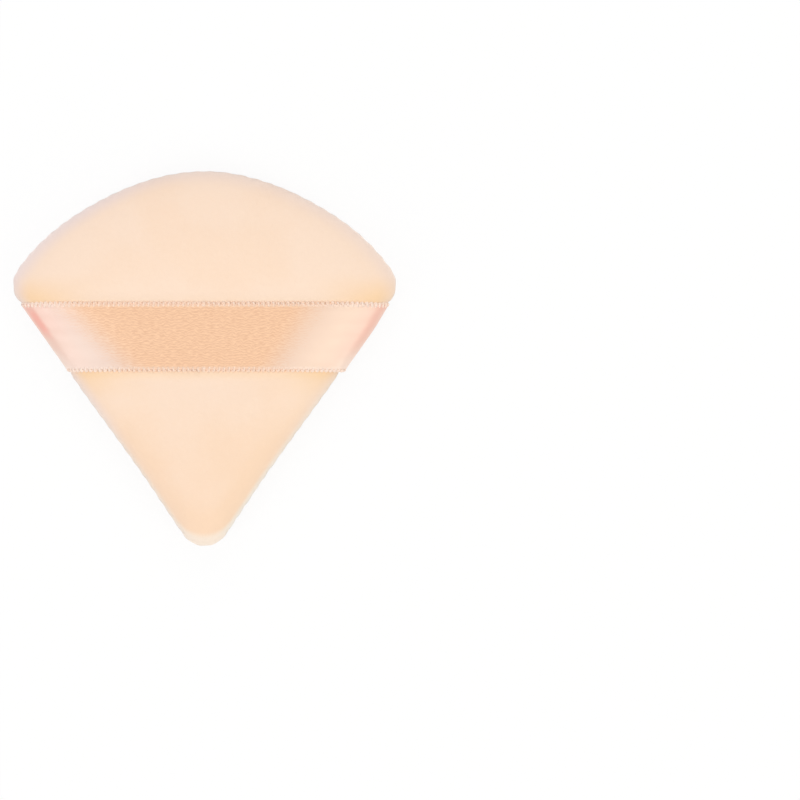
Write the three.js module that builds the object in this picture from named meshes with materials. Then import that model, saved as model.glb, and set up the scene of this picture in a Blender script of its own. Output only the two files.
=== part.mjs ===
// A fan-shaped powder puff, in millimetres. Two velour panels are sewn together round a soft filling,
// and a satin finger strap crosses the front, with its two ends caught in the side seams.
// +X runs along the strap, +Y towards the round edge and +Z out of the front. The puff lies on its back
// panel, and the origin is on that face, under the middle of the pad.
import * as THREE from 'three';

const { lerp, smoothstep } = THREE.MathUtils;

// Outline of the pad, seen from the front
const PAD_WIDTH = 70;
const PAD_LENGTH = 68.5;
const CORNER_RADIUS = 5;
const CORNER_HEIGHT = 48; // from the end of the tip up to the widest line
const TIP_RADIUS = 4.15;
const ROUND_EDGE_DRAW = 0.6; // the seam draws the round edge in this much on each side of its middle
const SIDE_DRAW = 0.35; // the seam draws each straight side in this much, nearer the tip
const STRAP_PINCH = 0.35; // the strap draws the sides in this much where it goes over them

// Padding
const FRONT_CROWN = 6.4; // height of the front panel above its sewn edge
const BACK_CROWN = 4.8; // depth of the back panel below its sewn edge
const REST_FLATTENING = 0.5; // how far the crown of the back is pressed flat by what it lies on
const CROWN_HEIGHT = 38.25; // from the end of the tip up to where the padding is thickest
const CROWN_FULLNESS = 7; // exponent, higher for a flatter middle
const SHOULDER_ROUNDNESS = 0.55; // exponent, lower for a squarer edge
const PANEL_THICKNESS = 1.4; // velour pile on its knitted backing
const SEAM_ALLOWANCE = 2.6; // width of the edge that each panel turns in at the seam
const SOFT_CLEARANCE = 0.3; // between the filling, the panels and the strap

// Finger strap
const STRAP_WIDTH = 13.3;
const STRAP_THICKNESS = 0.3;
const STRAP_HEIGHT = 38.35; // from the end of the tip up to the strap's centre line
const SELVEDGE_WIDTH = 1.1;
const SELVEDGE_RISE = 0.15; // how far the looped edges stand above the weave
const CHANNEL_MIDDLE_DEPTH = 0.25; // how far the strap presses into the front at its middle
const CHANNEL_END_DEPTH = 0.9; // how far the strap presses into the front beside the seams
const CHANNEL_MARGIN = 1.2; // how far the pressed part reaches past the strap's edges
const CHANNEL_RUN_OUT = 2.5; // the stretch over which the front swells back beside the pressed part

// Sewing
const THREAD_DIAMETER = 0.4;
const SEAM_CLEARANCE = 0.1; // between the layers held together in the seam
const SEAM_INSET = 1.1; // from the pad's edge in to the machine seam
const TACK_INSET = 1.9; // from the pad's edge in to the tack across each strap end
const TACK_MARGIN = 0.6; // from the strap's edges in to the ends of its tacks
const TURNING_GAP = 20; // stretch of one side that the pad is filled through, then closed by hand
const TURNING_GAP_START = 8; // along the side, from the strap's lower edge down to that gap
const CLOSING_STITCH_PITCH = 2.4;
const CLOSING_STITCH_WIDTH = 0.9;

// Fineness of the facets
const TIP_STEPS = 4;
const SIDE_STEPS = 16;
const CORNER_STEPS = 6;
const ROUND_EDGE_STEPS = 11;
const OUTER_RINGS = 9;
const INNER_RINGS = 5;
const EDGE_CROWDING = 2.2; // exponent, higher to put more of the rings near the edge
const STRAP_STEPS = 11;
const STRAP_WEAVE_STEPS = 4;
const SEWN_END_STEPS = 6;
const THREAD_SIDES = 6;
const HALF_STITCH_STEPS = 5;

// Levels and places that follow from the sizes above
const SEAM_GAP = STRAP_THICKNESS + THREAD_DIAMETER + 3 * SEAM_CLEARANCE;
const BACK_RIM_Z = BACK_CROWN;
const FRONT_RIM_Z = BACK_RIM_Z + SEAM_GAP;
const THREAD_Z = FRONT_RIM_Z - SEAM_CLEARANCE - THREAD_DIAMETER / 2;
const ROUND_EDGE_Y = PAD_LENGTH / 2;
const TIP_Y = -PAD_LENGTH / 2;
const CROWN = new THREE.Vector2(0, TIP_Y + CROWN_HEIGHT);
const STRAP_Y = TIP_Y + STRAP_HEIGHT;
const STRAP_LOW_Y = STRAP_Y - STRAP_WIDTH / 2;
const STRAP_HIGH_Y = STRAP_Y + STRAP_WIDTH / 2;

// The outline's right half, from the middle of the tip up to the middle of the round edge. Every point
// has the angle of the outline's outward normal, so that the seams and linings can be set in from it.
const cornerCentre = new THREE.Vector2(PAD_WIDTH / 2 - CORNER_RADIUS, TIP_Y + CORNER_HEIGHT);
const tipCentre = new THREE.Vector2(0, TIP_Y + TIP_RADIUS);
const cornerDrop = ROUND_EDGE_Y - cornerCentre.y;
const roundEdgeRadius =
  (cornerCentre.x ** 2 + cornerDrop ** 2 - CORNER_RADIUS ** 2) / (2 * (cornerDrop - CORNER_RADIUS));
const roundEdgeCentre = new THREE.Vector2(0, ROUND_EDGE_Y - roundEdgeRadius);
const tipToCorner = cornerCentre.clone().sub(tipCentre);
const sideAngle = tipToCorner.angle() - Math.acos((TIP_RADIUS - CORNER_RADIUS) / tipToCorner.length());
const shoulderAngle = cornerCentre.clone().sub(roundEdgeCentre).angle();

function pointOnArc(centre, radius, angle) {
  return { x: centre.x + radius * Math.cos(angle), y: centre.y + radius * Math.sin(angle), angle };
}

function setIn(point, distance) {
  return {
    x: point.x - distance * Math.cos(point.angle),
    y: point.y - distance * Math.sin(point.angle),
    angle: point.angle,
  };
}

function steps(count, place) {
  return Array.from({ length: count }, (_, i) => place(i / count));
}

// 1 under the strap, falling smoothly to 0 beside it
function underStrap(y) {
  const beyond = Math.abs(y - STRAP_Y) - STRAP_WIDTH / 2 - CHANNEL_MARGIN;
  return 1 - smoothstep(beyond, 0, CHANNEL_RUN_OUT);
}

function rightHalf() {
  const tip = (t) => pointOnArc(tipCentre, TIP_RADIUS, lerp(-Math.PI / 2, sideAngle, t));
  const side = (t) => {
    const low = pointOnArc(tipCentre, TIP_RADIUS, sideAngle);
    const high = pointOnArc(cornerCentre, CORNER_RADIUS, sideAngle);
    const point = { x: lerp(low.x, high.x, t), y: lerp(low.y, high.y, t), angle: sideAngle };
    const draw = SIDE_DRAW * Math.sin(Math.PI * (1 - t) ** 2) ** 2;
    return setIn(point, draw + STRAP_PINCH * underStrap(point.y));
  };
  const corner = (t) => pointOnArc(cornerCentre, CORNER_RADIUS, lerp(sideAngle, shoulderAngle, t));
  const roundEdge = (t) => {
    const point = pointOnArc(roundEdgeCentre, roundEdgeRadius, lerp(shoulderAngle, Math.PI / 2, t));
    return setIn(point, ROUND_EDGE_DRAW * Math.sin(Math.PI * t) ** 2);
  };
  return [
    ...steps(TIP_STEPS, tip),
    ...steps(SIDE_STEPS, side),
    ...steps(CORNER_STEPS, corner),
    ...steps(ROUND_EDGE_STEPS, roundEdge),
    roundEdge(1),
  ];
}

function mirrored(point) {
  return { x: -point.x, y: point.y, angle: Math.PI - point.angle };
}

const half = rightHalf();
const outline = [...half, ...half.slice(1, -1).reverse().map(mirrored)];

function outlineSetIn(distance) {
  return outline.map((point) => setIn(point, distance));
}

// Distance from the middle line out to the right side of an outline, at one height
function sideAt(points, y) {
  const next = points.findIndex((point) => point.y >= y);
  const low = points[Math.max(next - 1, 0)];
  const high = points[next];
  return lerp(low.x, high.x, (y - low.y) / (high.y - low.y || 1));
}

// Share of the way from the crown out to the pad's edge at one point, 0 at the crown and 1 at the edge
function shareToEdge(x, y) {
  const ray = new THREE.Vector2(x, y).sub(CROWN);
  const shares = outline.map((from, i) => {
    const to = outline[(i + 1) % outline.length];
    const along = new THREE.Vector2(to.x - from.x, to.y - from.y);
    const start = new THREE.Vector2(from.x, from.y).sub(CROWN);
    const place = start.cross(ray) / ray.cross(along);
    const isHit = place >= 0 && place <= 1;
    return isHit ? ray.cross(along) / start.cross(along) : 0;
  });
  return Math.max(0, ...shares);
}

// Heights of the padding above and below its sewn edges
function swell(share) {
  return (1 - Math.min(share, 1) ** CROWN_FULLNESS) ** SHOULDER_ROUNDNESS;
}

function frontHeight(crown, y, share) {
  const channel = lerp(CHANNEL_MIDDLE_DEPTH, CHANNEL_END_DEPTH, share ** 2) * underStrap(y);
  return (crown - channel) * swell(share);
}

function backDepth(crown, share) {
  return Math.min(crown, (crown + REST_FLATTENING) * swell(share));
}

// Closed surface through rings of points, from a pole on its upper side to a pole on its under side
function loft(upperPole, rings, underPole) {
  const count = rings[0].length;
  const points = [upperPole, ...rings.flat(), underPole];
  const at = (ring, i) => 1 + ring * count + (i % count);
  const lastRing = rings.length - 1;
  const faces = [];
  for (let i = 0; i < count; i += 1) {
    faces.push(0, at(0, i), at(0, i + 1));
    for (let ring = 0; ring < lastRing; ring += 1) {
      faces.push(at(ring, i), at(ring + 1, i), at(ring + 1, i + 1));
      faces.push(at(ring, i), at(ring + 1, i + 1), at(ring, i + 1));
    }
    faces.push(points.length - 1, at(lastRing, i + 1), at(lastRing, i));
  }
  return surface(points, faces);
}

// Closed solid between two grids of points, for cloth that runs along the columns
function slab(under, over) {
  const rows = under.length;
  const columns = under[0].length;
  const at = (side, row, column) => (side * rows + row) * columns + column;
  const faces = [];
  const quad = (a, b, c, d) => faces.push(a, b, c, a, c, d);
  const lastRow = rows - 1;
  const lastColumn = columns - 1;
  for (let row = 0; row < lastRow; row += 1) {
    for (let column = 0; column < lastColumn; column += 1) {
      quad(at(1, row, column), at(1, row, column + 1), at(1, row + 1, column + 1), at(1, row + 1, column));
      quad(at(0, row, column), at(0, row + 1, column), at(0, row + 1, column + 1), at(0, row, column + 1));
    }
  }
  const rowNumbers = Array.from({ length: lastRow }, (_, i) => i);
  const columnNumbers = Array.from({ length: lastColumn }, (_, i) => i);
  const border = [
    ...columnNumbers.map((column) => [0, column]),
    ...rowNumbers.map((row) => [row, lastColumn]),
    ...columnNumbers.map((column) => [lastRow, lastColumn - column]),
    ...rowNumbers.map((row) => [lastRow - row, 0]),
  ];
  border.forEach((place, i) => {
    const next = border[(i + 1) % border.length];
    quad(at(0, ...place), at(0, ...next), at(1, ...next), at(1, ...place));
  });
  return surface([...under.flat(), ...over.flat()], faces);
}

function surface(points, faces) {
  const geometry = new THREE.BufferGeometry().setFromPoints(points);
  geometry.setIndex(faces);
  geometry.computeVertexNormals();
  return geometry;
}

function ring(edge, share, height) {
  return edge.map((point) => {
    const x = lerp(CROWN.x, point.x, share);
    const y = lerp(CROWN.y, point.y, share);
    return new THREE.Vector3(x, y, height(y, share));
  });
}

function pole(height) {
  return new THREE.Vector3(CROWN.x, CROWN.y, height(CROWN.y, 0));
}

// Shares of the way out to the edge, closer together near it
function sharesOutward(count) {
  return Array.from({ length: count }, (_, i) => 1 - (1 - (i + 1) / count) ** EDGE_CROWDING);
}

function sharesInward(count) {
  return sharesOutward(count).reverse();
}

// The two velour panels, each with its edge turned in at the seam
function frontPanel() {
  const lining = outlineSetIn(PANEL_THICKNESS);
  const turnedEdge = outlineSetIn(SEAM_ALLOWANCE);
  const liningCrown = FRONT_CROWN - 2 * PANEL_THICKNESS;
  const outside = (y, share) => FRONT_RIM_Z + frontHeight(FRONT_CROWN, y, share);
  const turnedTop = FRONT_RIM_Z + PANEL_THICKNESS;
  const inside = (y, share) => turnedTop + frontHeight(liningCrown, y, share);
  const rings = [
    ...sharesOutward(OUTER_RINGS).map((share) => ring(outline, share, outside)),
    ring(turnedEdge, 1, () => FRONT_RIM_Z),
    ring(turnedEdge, 1, () => turnedTop),
    ...sharesInward(INNER_RINGS).map((share) => ring(lining, share, inside)),
  ];
  return loft(pole(outside), rings, pole(inside));
}

function backPanel() {
  const lining = outlineSetIn(PANEL_THICKNESS);
  const turnedEdge = outlineSetIn(SEAM_ALLOWANCE);
  const liningCrown = BACK_CROWN - 2 * PANEL_THICKNESS;
  const outside = (y, share) => BACK_RIM_Z - backDepth(BACK_CROWN, share);
  const turnedUnder = BACK_RIM_Z - PANEL_THICKNESS;
  const inside = (y, share) => turnedUnder - backDepth(liningCrown, share);
  const rings = [
    ...sharesOutward(INNER_RINGS).map((share) => ring(lining, share, inside)),
    ring(turnedEdge, 1, () => turnedUnder),
    ring(turnedEdge, 1, () => BACK_RIM_Z),
    ...sharesInward(OUTER_RINGS).map((share) => ring(outline, share, outside)),
  ];
  return loft(pole(inside), rings, pole(outside));
}

// The soft filling, drawn in to a waist where the panels' edges turn in
function filling() {
  const skin = PANEL_THICKNESS + SOFT_CLEARANCE;
  const edge = outlineSetIn(skin);
  const waist = outlineSetIn(SEAM_ALLOWANCE + SOFT_CLEARANCE);
  const upperLevel = FRONT_RIM_Z + skin;
  const underLevel = BACK_RIM_Z - skin;
  const upper = (y, share) => upperLevel + frontHeight(FRONT_CROWN - 2 * skin, y, share);
  const under = (y, share) => underLevel - backDepth(BACK_CROWN - 2 * skin, share);
  const rings = [
    ...sharesOutward(INNER_RINGS).map((share) => ring(edge, share, upper)),
    ring(waist, 1, () => upperLevel),
    ring(waist, 1, () => underLevel),
    ...sharesInward(INNER_RINGS).map((share) => ring(edge, share, under)),
  ];
  return loft(pole(upper), rings, pole(under));
}

// Lines of the strap across its width, each with how far it stands above the weave
function strapLines() {
  const halfWidth = STRAP_WIDTH / 2;
  const weaveEdge = halfWidth - SELVEDGE_WIDTH;
  const selvedge = [
    { offset: halfWidth, rise: 0 },
    { offset: halfWidth - SELVEDGE_WIDTH / 2, rise: SELVEDGE_RISE },
    { offset: weaveEdge, rise: 0 },
  ];
  const weave = steps(STRAP_WEAVE_STEPS, (t) => ({ offset: lerp(-weaveEdge, weaveEdge, t), rise: 0 }));
  return [
    ...selvedge.map(({ offset, rise }) => ({ offset: -offset, rise })),
    ...weave.slice(1),
    ...selvedge.toReversed(),
  ];
}

// The front of the pad along one line across it, with the normal that the strap stands off along
function padSection(y) {
  const outward = sharesOutward(STRAP_STEPS);
  const shares = [...outward.map((share) => -share).reverse(), 0, ...outward];
  const side = sideAt(half, y);
  const path = shares.map((share) => {
    const x = share * side;
    return new THREE.Vector2(x, FRONT_RIM_Z + frontHeight(FRONT_CROWN, y, shareToEdge(x, y)));
  });
  return path.map((point, i) => {
    const isLeftEnd = i === 0;
    const isRightEnd = i === path.length - 1;
    if (isLeftEnd || isRightEnd) {
      return { point, normal: new THREE.Vector2(isLeftEnd ? -1 : 1, 0) };
    }
    const along = path[i + 1].clone().sub(path[i - 1]).normalize();
    return { point, normal: new THREE.Vector2(-along.y, along.x) };
  });
}

// The loose span of the strap, from the pad's edge on one side to its edge on the other
function strapSpan() {
  const grid = (standOff) => strapLines().map(({ offset, rise }) => {
    const y = STRAP_Y + offset;
    return padSection(y).map(({ point, normal }) => {
      const place = point.clone().addScaledVector(normal, standOff(rise));
      return new THREE.Vector3(place.x, y, place.y);
    });
  });
  return slab(grid(() => SOFT_CLEARANCE), grid((rise) => SOFT_CLEARANCE + STRAP_THICKNESS + rise));
}

// One end of the strap, from the end of the span down the pad's edge and in between the turned edges
function sewnEnd(side) {
  const turnedEdge = outlineSetIn(SEAM_ALLOWANCE);
  const cutTop = FRONT_RIM_Z - SOFT_CLEARANCE;
  const underside = BACK_RIM_Z + SEAM_CLEARANCE;
  const rows = (standOff, level) => Array.from({ length: SEWN_END_STEPS + 1 }, (_, i) => {
    const y = lerp(STRAP_LOW_Y, STRAP_HIGH_Y, i / SEWN_END_STEPS);
    const edge = sideAt(half, y) + standOff;
    const columns = [
      new THREE.Vector3(side * sideAt(turnedEdge, y), y, level),
      new THREE.Vector3(side * edge, y, level),
      new THREE.Vector3(side * edge, y, cutTop),
    ];
    return side > 0 ? columns : columns.reverse();
  });
  const outer = rows(SOFT_CLEARANCE + STRAP_THICKNESS, underside);
  const inner = rows(SOFT_CLEARANCE, underside + STRAP_THICKNESS);
  return slab(outer, inner);
}

// Threads
function thread(path, stepCount) {
  const section = new THREE.Shape();
  const corners = steps(THREAD_SIDES, (t) => t * 2 * Math.PI);
  section.setFromPoints(corners.map((angle) => {
    return new THREE.Vector2(Math.cos(angle), Math.sin(angle)).multiplyScalar(THREAD_DIAMETER / 2);
  }));
  return new THREE.ExtrudeGeometry(section, { steps: stepCount, extrudePath: path, bevelEnabled: false });
}

function threadCurve(points) {
  const places = points.map(({ x, y }) => new THREE.Vector3(x, y, THREAD_Z));
  return new THREE.CatmullRomCurve3(places, false, 'centripetal');
}

const gapHighY = STRAP_LOW_Y - TURNING_GAP_START * Math.cos(sideAngle);
const gapLowY = gapHighY - TURNING_GAP * Math.cos(sideAngle);

// The machine seam, right round the pad from one end of the turning gap to the other
function machineSeam() {
  const line = outlineSetIn(SEAM_INSET);
  const rightPoints = line.slice(0, half.length);
  const leftPoints = line.slice(half.length);
  const points = [
    { x: sideAt(line, gapHighY), y: gapHighY },
    ...rightPoints.filter((point) => point.y > gapHighY),
    ...leftPoints,
    ...rightPoints.filter((point) => point.y < gapLowY),
    { x: sideAt(line, gapLowY), y: gapLowY },
  ];
  return thread(threadCurve(points), points.length);
}

// The slanting hand stitches that close the turning gap, half a stitch clear of the machine seam at each end
function closingStitches() {
  const halfPitch = CLOSING_STITCH_PITCH / 2;
  const turns = Math.floor(TURNING_GAP / halfPitch) - 1;
  const edgeOnSeam = outlineSetIn(SEAM_INSET);
  const points = Array.from({ length: turns }, (_, i) => {
    const y = gapHighY - (i + 1) * halfPitch * Math.cos(sideAngle);
    const swing = (i % 2 === 0 ? 1 : -1) * CLOSING_STITCH_WIDTH / 2;
    return setIn({ x: sideAt(edgeOnSeam, y), y, angle: sideAngle }, swing);
  });
  return thread(threadCurve(points), (turns - 1) * HALF_STITCH_STEPS);
}

// The short row of stitches across one end of the strap
function strapTack(side) {
  const line = outlineSetIn(TACK_INSET);
  const ends = [STRAP_LOW_Y + TACK_MARGIN, STRAP_HIGH_Y - TACK_MARGIN].map((y) => {
    return new THREE.Vector3(side * sideAt(line, y), y, THREAD_Z);
  });
  return thread(new THREE.LineCurve3(...ends), 1);
}

const velour = { color: '#fee3cb', roughness: 0.95, metalness: 0 };
const satin = { color: '#f7cba8', roughness: 0.45, metalness: 0 };
const wadding = { color: '#f6efe6', roughness: 1, metalness: 0 };
const cotton = { color: '#f3d3b8', roughness: 0.8, metalness: 0 };

function piece(name, geometry, finish) {
  const mesh = new THREE.Mesh(geometry, new THREE.MeshStandardMaterial(finish));
  mesh.name = name;
  return mesh;
}

const pad = new THREE.Group();
pad.add(piece('front_panel', frontPanel(), velour));
pad.add(piece('back_panel', backPanel(), velour));
pad.add(piece('filling', filling(), wadding));

const strap = new THREE.Group();
strap.add(piece('ribbon_strap', strapSpan(), satin));
strap.add(piece('ribbon_end_left', sewnEnd(-1), satin));
strap.add(piece('ribbon_end_right', sewnEnd(1), satin));

const sewing = new THREE.Group();
sewing.add(piece('seam_thread', machineSeam(), cotton));
sewing.add(piece('closing_thread', closingStitches(), cotton));
sewing.add(piece('strap_tack_left', strapTack(-1), cotton));
sewing.add(piece('strap_tack_right', strapTack(1), cotton));

const powderPuff = new THREE.Group();
powderPuff.add(pad, strap, sewing);

export default powderPuff;
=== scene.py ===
"""Looks of a fan-shaped powder puff with a satin finger strap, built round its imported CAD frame."""

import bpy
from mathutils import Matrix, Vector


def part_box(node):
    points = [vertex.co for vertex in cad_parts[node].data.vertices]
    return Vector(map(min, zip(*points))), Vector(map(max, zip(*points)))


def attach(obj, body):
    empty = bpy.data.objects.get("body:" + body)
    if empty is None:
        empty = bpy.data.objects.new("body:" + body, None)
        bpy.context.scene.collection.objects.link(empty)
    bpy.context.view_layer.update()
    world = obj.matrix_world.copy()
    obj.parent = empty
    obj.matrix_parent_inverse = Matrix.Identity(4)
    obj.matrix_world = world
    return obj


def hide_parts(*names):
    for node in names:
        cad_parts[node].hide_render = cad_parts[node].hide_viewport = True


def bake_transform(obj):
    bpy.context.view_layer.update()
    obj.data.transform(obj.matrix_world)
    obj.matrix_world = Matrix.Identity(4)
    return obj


bl_info = {
    "name": "Powder puff",
    "version": (1, 0, 0),
    "blender": (4, 5, 0),
    "location": "3D View > Sidebar > Puff",
    "description": "Velour pad, satin finger strap and sewing of a fan-shaped powder puff",
    "category": "Object",
}

import math
from itertools import pairwise

import bmesh
import bpy
import numpy as np
from bpy.props import FloatProperty, FloatVectorProperty, PointerProperty
from mathutils import Vector, noise
from mathutils.bvhtree import BVHTree

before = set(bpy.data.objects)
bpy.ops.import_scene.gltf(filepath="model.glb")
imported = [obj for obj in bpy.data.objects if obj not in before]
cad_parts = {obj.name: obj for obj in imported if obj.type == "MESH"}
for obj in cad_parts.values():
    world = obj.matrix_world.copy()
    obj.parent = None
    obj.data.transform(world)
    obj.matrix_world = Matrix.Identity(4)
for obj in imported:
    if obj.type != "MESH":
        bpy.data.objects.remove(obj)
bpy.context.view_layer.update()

MM = 0.001
FULL_TURN = 2 * math.pi

# Places that the CAD nodes fix
FRONT_LOW, FRONT_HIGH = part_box("front_panel")
BACK_LOW, BACK_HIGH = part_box("back_panel")
STRAP_LOW, STRAP_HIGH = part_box("ribbon_strap")
TACK_LOW, TACK_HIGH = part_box("strap_tack_left")
FRONT_RIM = FRONT_LOW.z
BACK_RIM = BACK_HIGH.z
SEAM_GAP = FRONT_RIM - BACK_RIM
SEAM_LEVEL = (FRONT_RIM + BACK_RIM) / 2
THREAD_LEVEL = (TACK_LOW.z + TACK_HIGH.z) / 2
UPPER_DRAW = 0.3 * MM  # how far the ribbon's upper selvedge is drawn in
RIBBON_TOP = STRAP_HIGH.y - UPPER_DRAW
STRAP_MIDDLE = (STRAP_LOW.y + RIBBON_TOP) / 2

# Which way the two ends of the strap lie, and the CAD node that each run of stitches stands for
SIDES = {"left": -1, "right": 1}
STITCHED_NODES = {
    "seam_stitches": "seam_thread",
    "closing_stitches": "closing_thread",
    "tack_left": "strap_tack_left",
    "tack_right": "strap_tack_right",
}

# Fineness of the meshes
STRETCH_STEPS = 80
SECTION_STEPS = 240
OUTLINE_COLUMNS = 384
TURN_CROWDING = 4 * MM  # length of outline that one radian of turning counts for
FACE_RINGS = 84
LINING_RINGS = 14
BEAD_STEPS = 8
EDGE_CROWDING = 2.2  # exponent, higher to put more of the rings near the seam
FULL_COLUMN_SHARE = 0.45  # of the way to the edge, inside which the columns halve, and halve again
FEWEST_COLUMNS = 24
RIBBON_ROWS = 44
RIBBON_COLUMNS = 110
RIBBON_CROWDING = 1.35  # exponent, higher to put more of the columns near the seam
RIBBON_TURN_STEPS = 8
PICOT_STEPS = 16
THREAD_SIDES = 8
STITCH_STEPS = 12
SHARP_TURN = math.radians(60)  # edges that turn more than this aren't shaded as round
SHORTEST = 1e-12  # a vector of no length counts as this long, so that nothing is divided by zero

# Unevenness of the cloth
LUMP_SIZE = 9 * MM
FIBRE_SIZE = 3 * MM
FIBRE_DEPTH = 0.12 * MM
PUCKER_DRIFT_SIZE = 6 * MM
PUCKER_DRIFT = 1.6  # radians by which a pucker strays from its place
PUCKER_LEVEL = 0.75  # share of the depth that a usual pucker has
PUCKER_VARIETY = 0.5  # how much deeper or shallower the others are
PUCKERED_TUCK = 0.5  # share of the seam's tuck that follows the puckers
RIPPLE_SIZE = 7 * MM
RIPPLE_START = 2 * MM  # from the middle, where the two halves of the ribbon meet
RIPPLE_END = 0.5 * MM  # before the pad's rim
PLEAT_PHASE = 0.8  # radians, so that the pleats of the two ends differ

# Shapes of the ribbon's ends, its loops and the stitches
SEAM_SHUT = 0.1 * MM  # past the satin's edge, where the seam is closed again
SLACK_START = 0.82  # share of the way to the seam from which a loose end leaves the pad
SLACK_FADE = (-1.5 * MM, 6 * MM)  # down from the ribbon's top, over which a loose end grows loose
PICOT_UPRIGHT = 0.92  # 0 for loops that slant as a spring's do, 1 for loops straight across
# Painted highlight on the loops near the seam, where they meet the satin's glow
PICOT_PAINTED_GLOW = (4 * MM, 16 * MM)  # from the seam, over which the loops pass from pale to plain
SMALLEST_LOOP = 0.55  # share of its size that a loop keeps at the seam
STITCH_BLUNTNESS = 0.3  # exponent, lower for blunter ends
STITCH_TIP = 0.12  # share of the thread's thickness that is left at a stitch's ends
SAG_POWER = 6  # even, higher for a stitch that sinks only at its very ends
SAG_SHARE = 1 / 3  # of the thread's thickness

# The inflated skin, which is worked at ten times its size because that suits the cloth solver
CLOTH_SCALE = 10
CLOTH_VOXEL = 1.3 * MM
CLOTH_FRAMES = 20
CLOTH_PRESSURE = 4.0
CLOTH_MASS = 0.01
CLOTH_START = 0.6 * MM  # how much lower the crown starts than it ends
SWELL_CAP = 0.8 * MM  # the most that a point of a face may move
SWELL_SMOOTHING = 6  # times that the swelling is evened out
SWELL_FADE = 0.55  # share of the way to the seam from which the swelling fades
PROBE = 4 * MM  # how far on each side of a face the skin is looked for

# Fineness of the textures, in features to a metre, and for the satin along and across the ribbon
PILE_FINENESS = 8000
TUFT_FINENESS = 1300
NAP_FINENESS = 75
FLOAT_FINENESS = (1000, 7000)
WEFT_FINENESS = (2400, 700)
ZIGZAG_FINENESS = (950, 420)
DRIFT_FINENESS = (300, 300)
FUZZ_FINENESS = 6000
MAT_FINENESS = 700

# How the threads lie
FLOAT_PITCH = 0.5 * MM  # between the rows of the satin's floats
FLOAT_DRIFT = 0.9 * MM  # how far a float strays across the ribbon
FLOAT_ZIGZAG = 1.5 * MM  # how far a row of them does
PICOT_TWIST = 0.5 * MM  # along the thread, between the ridges of its plies
SEWING_TWIST = 0.6 * MM

# Share of the colour that is left where shade is painted into the hollows
THREAD_SHADE = 0.78
WADDING_SHADE = 0.82

# Depth of the unevenness that the light catches
PILE_DEPTH = 0.12 * MM
SATIN_DEPTH = 0.04 * MM
PLY_DEPTH = 0.05 * MM
MAT_DEPTH = 0.5 * MM

# The photograph's frame, where the puff stands in it, and how the stage is set
PICTURE_SIZE = 800
PUFF_CENTRE_PX = (204.66, 358.67)
SIDE_LEAN = math.radians(51)  # of a lamp from straight above
BACK_LEAN = math.radians(42)
LAMP_POWER = 4  # watts of a square metre of lamp at a level of 1
FLOOR_GAP = 0.3 * MM  # from the pad down to the floor
WHITE = (1.0, 1.0, 1.0, 1.0)

LAY = "lay"  # vector kept at each vertex: where the cloth or thread is, in its own directions


def size(label, meaning, default):
    """A setting in metres."""
    return FloatProperty(
        name=label, description=meaning, default=default, precision=5, unit="LENGTH"
    )


def amount(label, meaning, default):
    """A setting that is a plain number."""
    return FloatProperty(name=label, description=meaning, default=default, min=0.0)


def tint(label, meaning, default):
    """A setting that is a colour."""
    return FloatVectorProperty(
        name=label, description=meaning, default=default, size=3, min=0.0, max=1.0, subtype="COLOR"
    )


class PuffPadSettings(bpy.types.PropertyGroup):
    """Sizes of the padded fan."""

    width: size("Width", "Across the two upper corners", FRONT_HIGH.x - FRONT_LOW.x)
    length: size("Length", "From the tip to the round edge", FRONT_HIGH.y - FRONT_LOW.y)
    corner_radius: size("Corner radius", "Of the two upper corners", 5 * MM)
    corner_height: size(
        "Corner height", "From the end of the tip up to the widest line", 47.75 * MM
    )
    tip_radius: size("Tip radius", "Of the rounded tip", 4.75 * MM)
    round_edge_draw: size("Round edge draw", "How far the seam draws the round edge in", 0.6 * MM)
    side_draw: size("Side draw", "How far the seam draws each side in, nearer the tip", 0.25 * MM)
    strap_pinch: size("Strap pinch", "How far the strap draws the sides in", 0.35 * MM)
    front_crown: size("Front crown", "Front panel above its sewn edge", FRONT_HIGH.z - FRONT_LOW.z)
    back_crown: size("Back crown", "Back panel below its sewn edge", BACK_HIGH.z - BACK_LOW.z)
    rest_flattening: size("Rest flattening", "How far the back is pressed flat", 0.5 * MM)
    crown_height: size("Crown height", "From the tip up to the thickest padding", 38.25 * MM)
    crown_fullness: amount("Crown fullness", "Exponent, higher for a flatter middle", 7)
    shoulder_roundness: amount("Shoulder roundness", "Exponent, lower for a squarer edge", 0.55)
    panel_thickness: size("Panel thickness", "Velour pile on its knitted backing", 1.4 * MM)
    seam_allowance: size("Seam allowance", "Width of each panel's turned edge", 2.6 * MM)
    filling_clearance: size("Filling clearance", "Between the wadding and the panels", 0.3 * MM)
    bead_width: size("Bead width", "Rolled edge of each panel at the seam", 1.0 * MM)
    bead_drop: size("Bead drop", "From each sewn edge to where the two rolls meet", SEAM_GAP / 2)
    bead_squeeze: size(
        "Bead squeeze", "How far the pile of the two rolls runs into each other", 0.03 * MM
    )
    seam_tuck: size("Seam tuck", "How far the seam draws the rolled edges in", 0.26 * MM)
    tuck_reach: size("Tuck reach", "How far that draws in the face above the edge", 0.7 * MM)
    pucker_pitch: size("Pucker pitch", "Between the small puckers along the seam", 2.7 * MM)
    pucker_depth: size("Pucker depth", "How far the stitches draw the edge in", 0.08 * MM)
    pucker_reach: size("Pucker reach", "How far a pucker runs in from the seam", 2.2 * MM)
    lump_height: size("Lump height", "Unevenness of the wadding under the velour", 0.07 * MM)


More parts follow.
